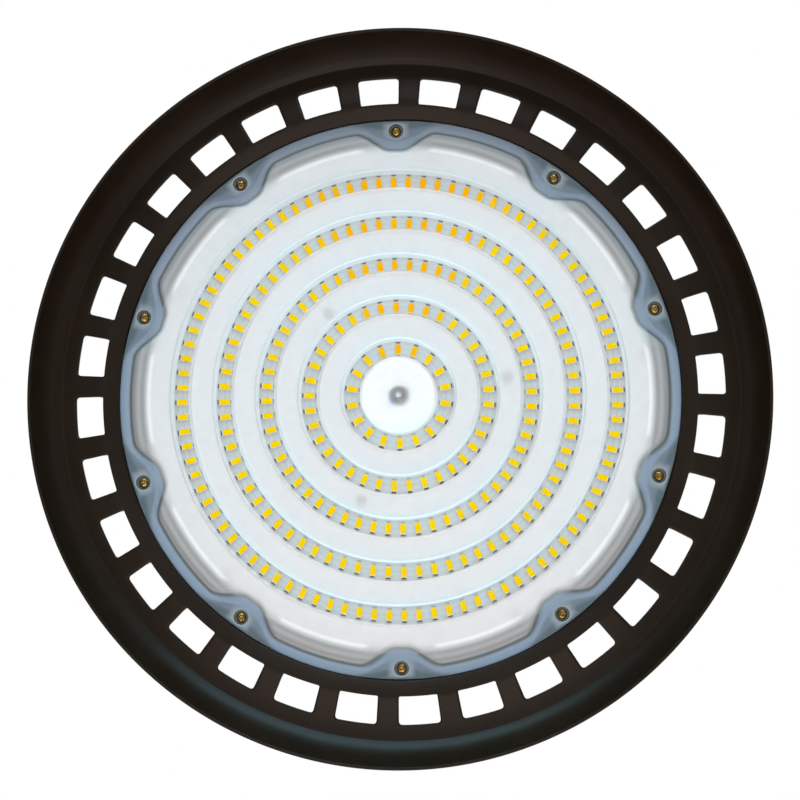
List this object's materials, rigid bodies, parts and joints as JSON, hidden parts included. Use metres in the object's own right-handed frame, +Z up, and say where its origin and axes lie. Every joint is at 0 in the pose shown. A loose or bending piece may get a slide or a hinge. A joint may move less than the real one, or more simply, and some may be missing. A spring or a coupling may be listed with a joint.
{
  "type": "high bay light",
  "caption": "Round hanging high bay light: black cast housing with a vented dished rim and fins, ring lens cover over an LED board, driver hub, hanging eye and cable gland.",
  "frame": {"origin": "centre of the lower lip's plane, on which the light rests when it stands on a surface", "axes": "+Z up, towards the hanging eye; the lens faces -Z. +X towards the cable gland. +Y along the bore of the hanging eye"},
  "size_m": [0.34, 0.34, 0.1929],
  "materials": {
    "cast_black": "black powder coat on die-cast aluminium",
    "clear_cover": "clear moulded polycarbonate",
    "pale_silicone": "matte",
    "yellow_zinc": "yellow zinc plate on steel",
    "white_board": "white solder mask on an aluminium core",
    "led_phosphor": "yellow phosphor in silicone",
    "dark_steel": "dark plated",
    "plain_steel": "bright zinc plate",
    "grey_silicone": "matte",
    "blue_insulation": "satin",
    "brown_insulation": "satin",
    "white_plastic": "matte",
    "green_board": "solder mask",
    "ferrite": "matte",
    "yellow_tape": "satin",
    "capacitor_sleeve": "satin",
    "green_plastic": "matte",
    "black_rubber": "matte",
    "black_nylon": "satin"
  },
  "bodies": {
    "root": {"heat_sink": "cast_black", "lens_cover": "clear_cover", "lens_gasket": "pale_silicone", "lens_screws": "yellow_zinc", "led_board": "white_board", "leds_ring_1": "led_phosphor", "leds_ring_2": "led_phosphor", "leds_ring_3": "led_phosphor", "leds_ring_4": "led_phosphor", "leds_ring_5": "led_phosphor", "board_screws_inner": "dark_steel", "board_screws_outer": "dark_steel", "wire_grommet": "grey_silicone", "lead_negative": "blue_insulation", "lead_positive": "brown_insulation", "driver_tray": "white_plastic", "driver_board": "green_board", "driver_screws": "plain_steel", "transformer_core": "ferrite", "transformer_winding": "yellow_tape", "bulk_capacitors": "capacitor_sleeve", "output_capacitor": "capacitor_sleeve", "filter_choke": "ferrite", "terminal_block": "green_plastic", "top_cover": "cast_black", "cover_gasket": "pale_silicone", "cover_screws": "plain_steel", "hanging_eye": "plain_steel", "eye_lock_nut": "plain_steel", "eye_washer": "plain_steel", "gland_washer": "black_rubber", "gland_body": "black_nylon", "gland_seal": "black_rubber", "gland_dome_nut": "black_nylon", "breather_vent": "black_nylon", "vent_seal": "black_rubber"}
  },
  "joints": []
}
